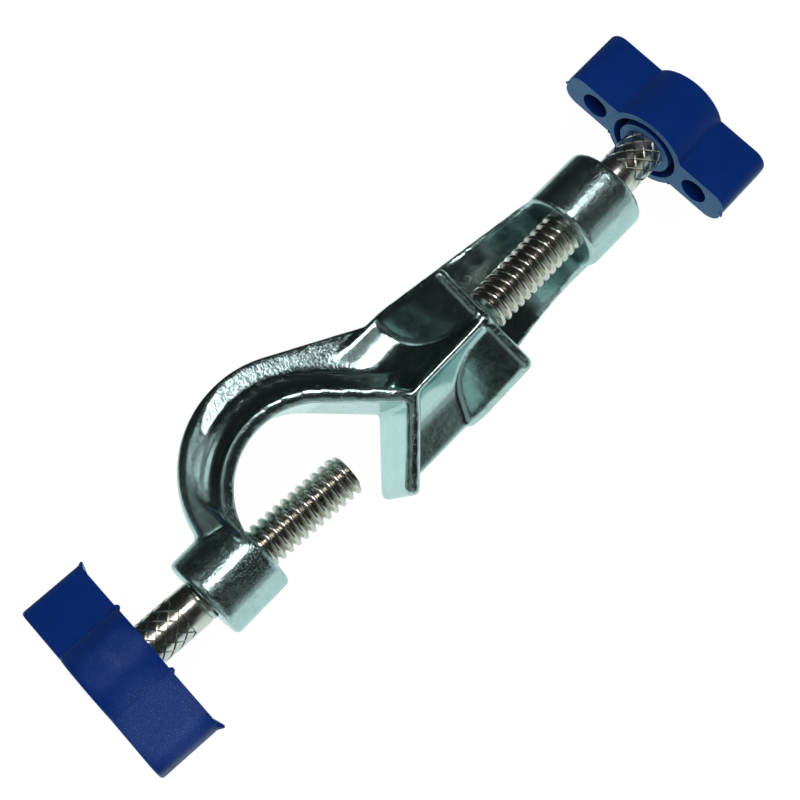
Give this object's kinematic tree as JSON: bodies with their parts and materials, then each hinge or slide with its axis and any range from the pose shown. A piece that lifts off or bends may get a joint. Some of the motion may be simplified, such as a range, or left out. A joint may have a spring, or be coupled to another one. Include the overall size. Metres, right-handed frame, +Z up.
{
  "type": "boss head clamp",
  "caption": "Lab clamp that holds one rod across a stand rod at a right angle, with two V jaws set square to each other and a wing-knob screw closing each.",
  "frame": {"origin": "on the axis of a 12.7 mm stand rod seated in the stand jaw, at the middle of that jaw's width", "axes": "+Z runs up along the stand rod; +X runs along the body's long axis from the stand jaw to the cross jaw, whose rod lies along Y; the stand jaw opens towards -Y and the cross jaw towards +Z"},
  "size_m": [0.1132, 0.0313, 0.0276],
  "materials": {
    "zinc_casting": "bright zinc plate over a die casting, with a slightly grainy skin",
    "screw_steel": "nickel plate",
    "blue_plastic": "satin moulded"
  },
  "bodies": {
    "body": {"clamp_body": "zinc_casting"},
    "stand_screw": {"stand_screw": "screw_steel"},
    "stand_knob": {"stand_knob": "blue_plastic"},
    "cross_screw": {"cross_screw": "screw_steel"},
    "cross_knob": {"cross_knob": "blue_plastic"}
  },
  "joints": [
    {"name": "stand_screw_travel", "type": "slide", "parent": "body", "child": "stand_screw", "axis": [0.9968, -0.0802, 0], "range_m": [-0.0153, 0.0006]},
    {"name": "stand_knob_turn", "type": "hinge", "parent": "stand_screw", "child": "stand_knob", "pos_m": [-0.02542, 0.00027, 0], "axis": [0.9968, -0.0802, 0], "range_deg": [-4320, 165]},
    {"name": "cross_screw_travel", "type": "slide", "parent": "body", "child": "cross_screw", "axis": [-0.9968, 0, 0.0802], "range_m": [-0.0153, 0]},
    {"name": "cross_knob_turn", "type": "hinge", "parent": "cross_screw", "child": "cross_knob", "pos_m": [0.05118, 0.00045, 0.00018], "axis": [-0.9968, 0, 0.0802], "range_deg": [-4320, 0]}
  ],
  "couplings": [
    {"joint": "stand_screw_travel", "follows": "stand_knob_turn", "m_per_rad": 0.00020213},
    {"joint": "cross_screw_travel", "follows": "cross_knob_turn", "m_per_rad": 0.00020213}
  ]
}
